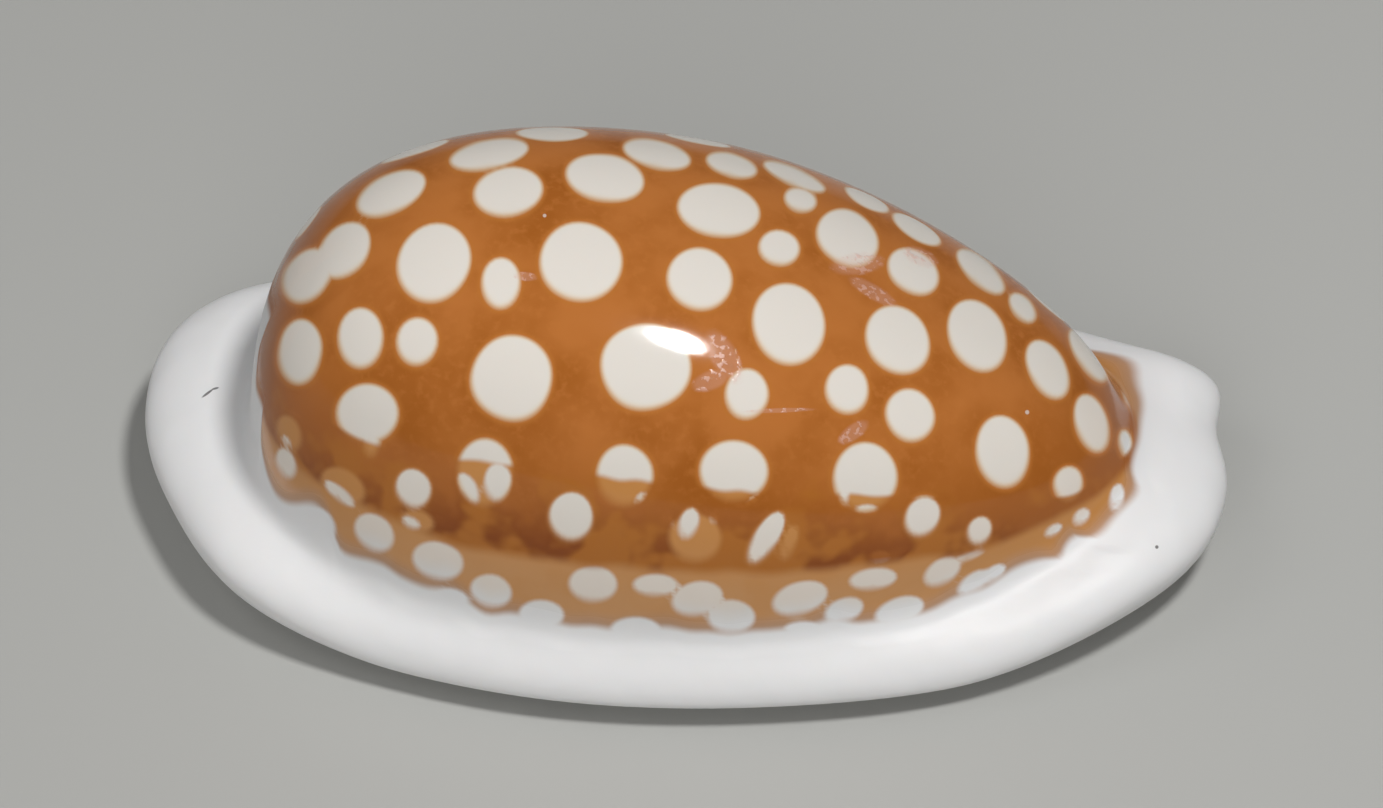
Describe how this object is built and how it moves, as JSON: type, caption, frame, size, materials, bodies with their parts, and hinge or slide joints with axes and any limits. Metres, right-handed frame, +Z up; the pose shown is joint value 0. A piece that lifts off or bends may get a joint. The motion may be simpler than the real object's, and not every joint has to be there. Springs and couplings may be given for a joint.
{
  "type": "sieve cowrie shell",
  "caption": "Small glossy cowrie shell: a hollow dome on a thick white rim, resting on its flat toothed base.",
  "frame": {"origin": "on the resting plane, at the middle of the shell's length and width", "axes": "+X to the front (anterior) tip, +Y to the inner-lip side, -Y to the outer-lip side, +Z up, mouth down"},
  "size_m": [0.0254, 0.0146, 0.0097],
  "materials": {
    "shell": "porcelain-like natural gloss; orange-brown back with cream round spots, white rim and base"
  },
  "bodies": {
    "root": {"shell": "shell"}
  },
  "joints": []
}
